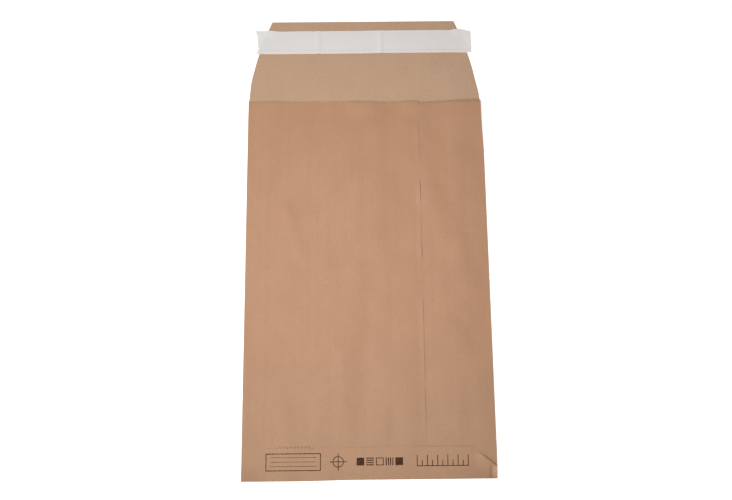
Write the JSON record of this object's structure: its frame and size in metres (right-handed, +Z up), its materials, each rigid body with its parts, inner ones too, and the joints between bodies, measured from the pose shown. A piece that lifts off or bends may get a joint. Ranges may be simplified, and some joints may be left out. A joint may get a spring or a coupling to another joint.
{
  "type": "paper mailing bag",
  "caption": "Flat brown kraft paper mailing bag with a lapped front seam, a folded and glued bottom, toothed cut edges and an open closing flap with an adhesive strip under a white liner.",
  "frame": {"origin": "centre of the bag's box on the surface that it lies on, under the plain back panel", "axes": "+X across the bag to the right, +Y from the bottom fold to the closing flap, +Z up out of the front panel"},
  "size_m": [0.25, 0.494, 0.0032],
  "materials": {
    "kraft_paper": "uncoated brown kraft",
    "adhesive": "clear tacky glue",
    "liner_paper": "white siliconised, satin"
  },
  "bodies": {
    "root": {"paper_bag": "kraft_paper", "adhesive_strip": "adhesive", "release_liner": "liner_paper"}
  },
  "joints": []
}
